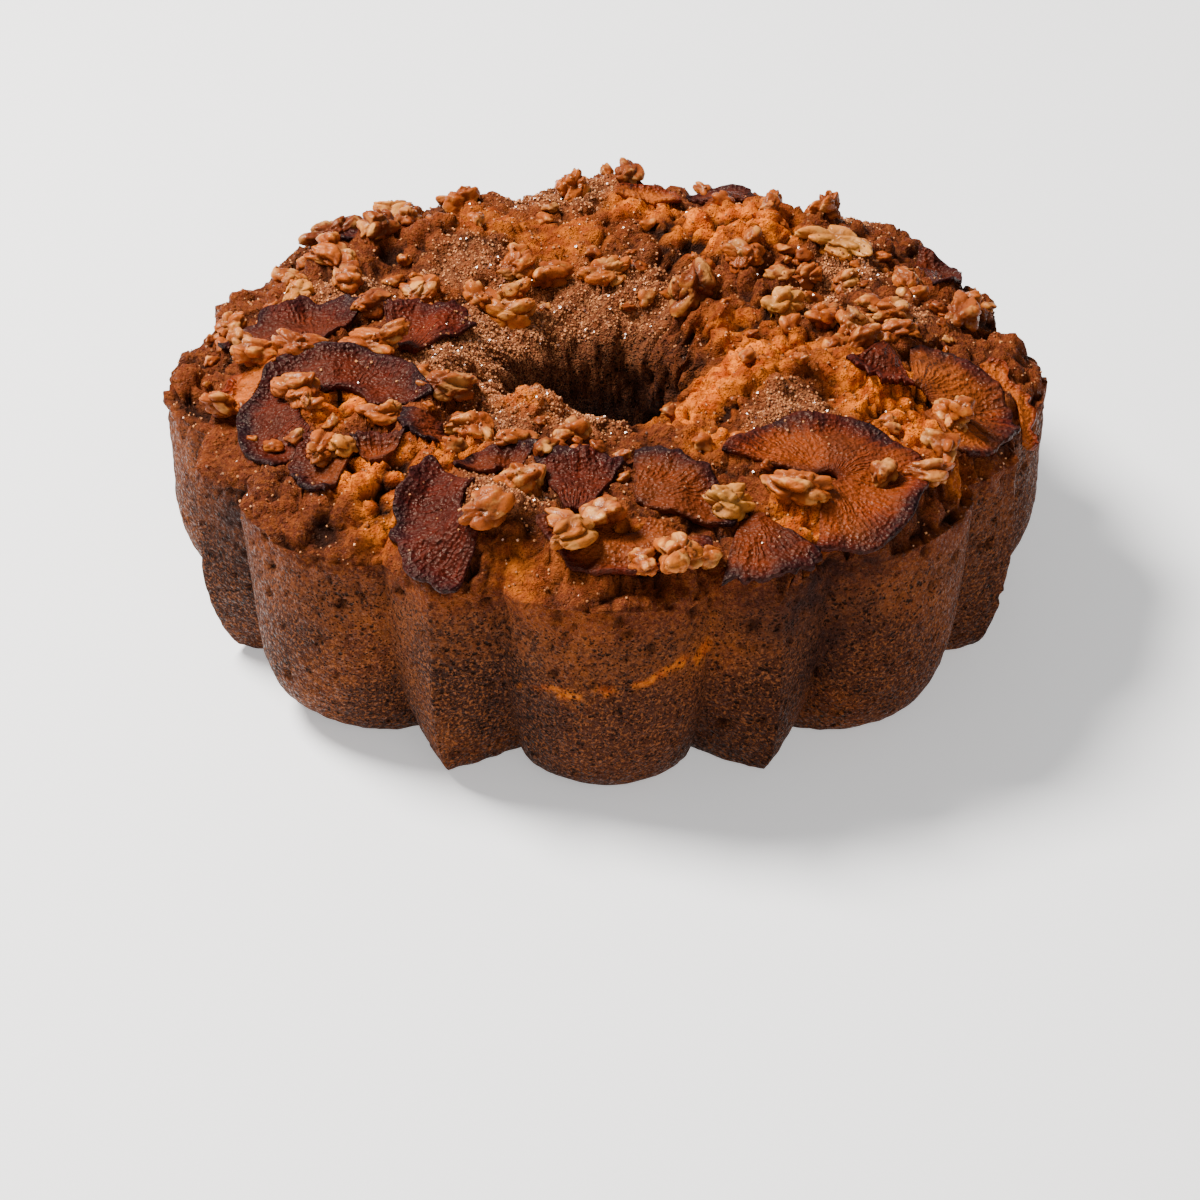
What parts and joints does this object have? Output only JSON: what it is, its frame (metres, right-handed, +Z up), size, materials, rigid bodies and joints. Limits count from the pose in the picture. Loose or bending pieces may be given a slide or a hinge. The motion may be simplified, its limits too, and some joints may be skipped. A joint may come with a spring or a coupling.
{
  "type": "bundt cake",
  "caption": "Baked bundt cake with round and pointed flutes, a centre hole and a craggy sugared top with curled dark fruit slices and walnut pieces.",
  "frame": {"origin": "centre of the cake's underside, on its axis", "axes": "+Z up through the centre hole; -Y is the front, where a round flute stands; the baked top is up and the fluted end down"},
  "size_m": [0.258, 0.258, 0.0953],
  "materials": {
    "crust": "brown baked cake crust, porous and a little shiny with sugar",
    "fruit": "dark red-brown baked fruit slice, glazed, orange where thin",
    "walnut": "toasted walnut, tan to brown, satin"
  },
  "bodies": {
    "root": {"cake": "crust", "fruit_back_dark": "fruit", "fruit_back_left_edge": "fruit", "fruit_back_left_small": "fruit", "fruit_back_left_wide": "fruit", "fruit_back_pale": "fruit", "fruit_back_right": "fruit", "fruit_charred_twist": "fruit", "fruit_front_dark": "fruit", "fruit_front_fan": "fruit", "fruit_front_left_large": "fruit", "fruit_front_left_small": "fruit", "fruit_front_lip": "fruit", "fruit_front_right_corner": "fruit", "fruit_left_pale": "fruit", "fruit_left_ring": "fruit", "fruit_left_small": "fruit", "fruit_ragged": "fruit", "fruit_right_edge": "fruit", "fruit_right_flap": "fruit", "fruit_right_half": "fruit", "fruit_right_large": "fruit", "walnut_01": "walnut", "walnut_02": "walnut", "walnut_03": "walnut", "walnut_04": "walnut", "walnut_05": "walnut", "walnut_06": "walnut", "walnut_07": "walnut", "walnut_08": "walnut", "walnut_09": "walnut", "walnut_10": "walnut", "walnut_11": "walnut", "walnut_12": "walnut", "walnut_13": "walnut", "walnut_14": "walnut", "walnut_15": "walnut", "walnut_16": "walnut", "walnut_17": "walnut", "walnut_18": "walnut", "walnut_19": "walnut", "walnut_20": "walnut", "walnut_21": "walnut", "walnut_22": "walnut", "walnut_23": "walnut", "walnut_24": "walnut", "walnut_25": "walnut", "walnut_26": "walnut", "walnut_27": "walnut", "walnut_28": "walnut", "walnut_29": "walnut", "walnut_30": "walnut", "walnut_31": "walnut", "walnut_32": "walnut", "walnut_33": "walnut", "walnut_34": "walnut", "walnut_35": "walnut", "walnut_36": "walnut", "walnut_37": "walnut", "walnut_38": "walnut"}
  },
  "joints": []
}
